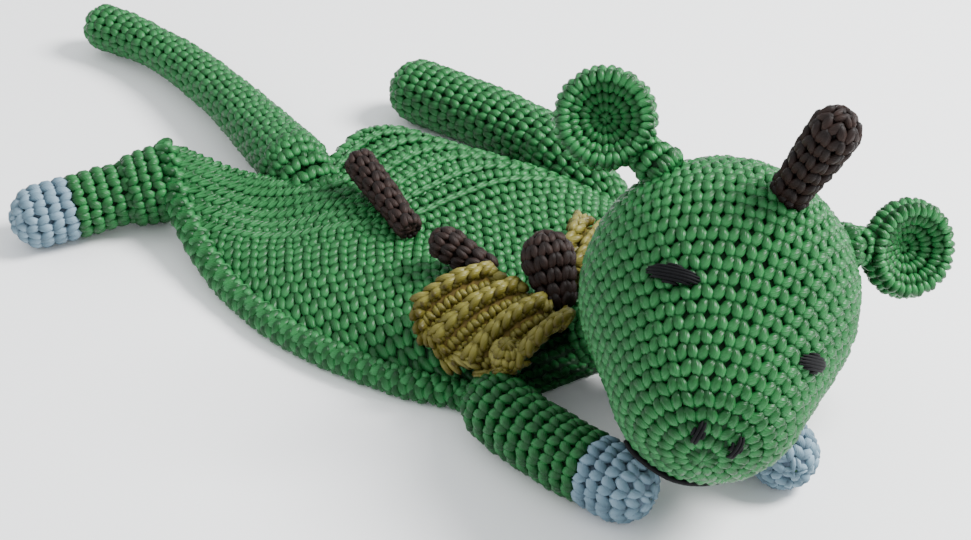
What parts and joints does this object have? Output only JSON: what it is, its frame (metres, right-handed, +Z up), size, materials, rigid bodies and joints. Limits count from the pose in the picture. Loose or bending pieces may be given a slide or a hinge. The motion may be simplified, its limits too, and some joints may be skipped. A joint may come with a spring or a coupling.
{
  "type": "hand puppet",
  "caption": "Crocheted dragon hand puppet lying on its belly, with a glove body, a finger pocket in the head, stuffed limbs and tail, wings, horn and back spikes.",
  "frame": {"origin": "on the floor under the belly panel, below the spine, about midway between the neck and the hem", "axes": "+Z up, -Y towards the head, +Y towards the tail, +X towards the puppet's own left side"},
  "size_m": [0.178, 0.3779, 0.1204],
  "materials": {
    "green_cotton": "matt mercerised cotton yarn, crocheted",
    "white_cotton": "matt cotton yarn, crocheted",
    "yellow_cotton": "matt cotton yarn, crocheted in ribs",
    "brown_cotton": "matt cotton yarn, crocheted",
    "black_floss": "satin embroidery floss",
    "polyester_fill": "loose polyester fibre filling"
  },
  "bodies": {
    "torso": {"back_panel": "green_cotton", "belly_panel": "green_cotton", "right_side_seam": "green_cotton", "left_side_seam": "green_cotton"},
    "neck": {"neck_sleeve": "green_cotton"},
    "head": {"head_cover": "green_cotton", "head_stuffing": "polyester_fill", "finger_pocket": "green_cotton", "right_eye": "black_floss", "left_eye": "black_floss", "right_nostril": "black_floss", "left_nostril": "black_floss", "mouth_thread": "black_floss"},
    "right_ear": {"right_ear": "green_cotton"},
    "left_ear": {"left_ear": "green_cotton"},
    "horn": {"head_horn_cover": "brown_cotton", "head_horn_stuffing": "polyester_fill"},
    "front_spike": {"back_spike_front_cover": "brown_cotton", "back_spike_front_stuffing": "polyester_fill"},
    "middle_spike": {"back_spike_middle_cover": "brown_cotton", "back_spike_middle_stuffing": "polyester_fill"},
    "rear_spike": {"back_spike_rear_cover": "brown_cotton", "back_spike_rear_stuffing": "polyester_fill"},
    "right_wing": {"right_wing": "yellow_cotton"},
    "left_wing": {"left_wing": "yellow_cotton"},
    "right_arm": {"right_arm_sleeve": "green_cotton", "right_arm_cap": "white_cotton", "right_arm_stuffing": "polyester_fill"},
    "left_arm": {"left_arm_sleeve": "green_cotton", "left_arm_cap": "white_cotton", "left_arm_stuffing": "polyester_fill"},
    "right_leg": {"right_leg_sleeve": "green_cotton", "right_leg_cap": "white_cotton", "right_leg_stuffing": "polyester_fill"},
    "left_leg": {"left_leg_sleeve": "green_cotton", "left_leg_cap": "green_cotton", "left_leg_stuffing": "polyester_fill"},
    "tail_base": {"tail_base_sleeve": "green_cotton", "tail_base_stuffing": "polyester_fill"},
    "tail_tip": {"tail_tip_sleeve": "green_cotton", "tail_tip_stuffing": "polyester_fill"}
  },
  "joints": [
    {"name": "neck_lift", "type": "hinge", "parent": "torso", "child": "neck", "pos_m": [0.0066, -0.066, 0.0275], "axis": [-1, 0, 0], "range_deg": [0, 25]},
    {"name": "head_turn", "type": "hinge", "parent": "neck", "child": "head", "pos_m": [0.0104, -0.114, 0.054], "axis": [-0.0699, 0.7664, -0.6385], "range_deg": [0, 40]},
    {"name": "right_ear_flop", "type": "hinge", "parent": "head", "child": "right_ear", "pos_m": [0.00968, -0.08908, 0.0873], "axis": [-0.7849, -0.5919, -0.183], "range_deg": [-15, 8], "stiffness_Nm_per_rad": 0.02},
    {"name": "left_ear_flop", "type": "hinge", "parent": "head", "child": "left_ear", "pos_m": [0.04745, -0.13126, 0.06172], "axis": [-0.7849, -0.5919, -0.183], "range_deg": [-8, 15], "stiffness_Nm_per_rad": 0.02},
    {"name": "horn_tilt", "type": "hinge", "parent": "head", "child": "horn", "pos_m": [0.02082, -0.12743, 0.09155], "axis": [0.608, -0.6789, -0.4117], "range_deg": [-12, 12], "stiffness_Nm_per_rad": 0.02},
    {"name": "front_spike_tilt", "type": "hinge", "parent": "torso", "child": "front_spike", "pos_m": [0, -0.06, 0.0283], "axis": [-1, 0, 0], "range_deg": [-15, 12], "stiffness_Nm_per_rad": 0.02},
    {"name": "middle_spike_tilt", "type": "hinge", "parent": "torso", "child": "middle_spike", "pos_m": [-0.002, -0.03, 0.0259], "axis": [-1, 0, 0], "range_deg": [-20, 12], "stiffness_Nm_per_rad": 0.02},
    {"name": "rear_spike_tilt", "type": "hinge", "parent": "torso", "child": "rear_spike", "pos_m": [-0.0025, 0.0065, 0.0248], "axis": [-1, 0, 0], "range_deg": [-30, 6], "stiffness_Nm_per_rad": 0.02},
    {"name": "right_wing_flap", "type": "hinge", "parent": "torso", "child": "right_wing", "pos_m": [-0.01075, -0.052, 0.0305], "axis": [0.0896, 0.9955, 0.0299], "range_deg": [0, 45], "stiffness_Nm_per_rad": 0.02},
    {"name": "left_wing_flap", "type": "hinge", "parent": "torso", "child": "left_wing", "pos_m": [0.0135, -0.047, 0.0285], "axis": [0, -1, 0], "range_deg": [0, 40], "stiffness_Nm_per_rad": 0.02},
    {"name": "right_arm_swing", "type": "hinge", "parent": "torso", "child": "right_arm", "pos_m": [-0.035, -0.07, 0.011], "axis": [0, 0, -1], "range_deg": [-8, 35]},
    {"name": "left_arm_swing", "type": "hinge", "parent": "torso", "child": "left_arm", "pos_m": [0.041, -0.09, 0.0066], "axis": [0, 0, 1], "range_deg": [0, 30]},
    {"name": "right_leg_swing", "type": "hinge", "parent": "torso", "child": "right_leg", "pos_m": [-0.045, 0.101, 0.0135], "axis": [0, 0, -1], "range_deg": [-20, 25]},
    {"name": "left_leg_swing", "type": "hinge", "parent": "torso", "child": "left_leg", "pos_m": [0.08, 0.022, 0.012], "axis": [0, 0, -1], "range_deg": [-10, 35]},
    {"name": "tail_swing", "type": "hinge", "parent": "torso", "child": "tail_base", "pos_m": [0.002, 0.071, 0.017], "axis": [0, 0, 1], "range_deg": [-25, 25]},
    {"name": "tail_bend", "type": "hinge", "parent": "tail_base", "child": "tail_tip", "pos_m": [0.01883, 0.13903, 0.01188], "axis": [0, 0, 1], "range_deg": [-18, 18]}
  ]
}
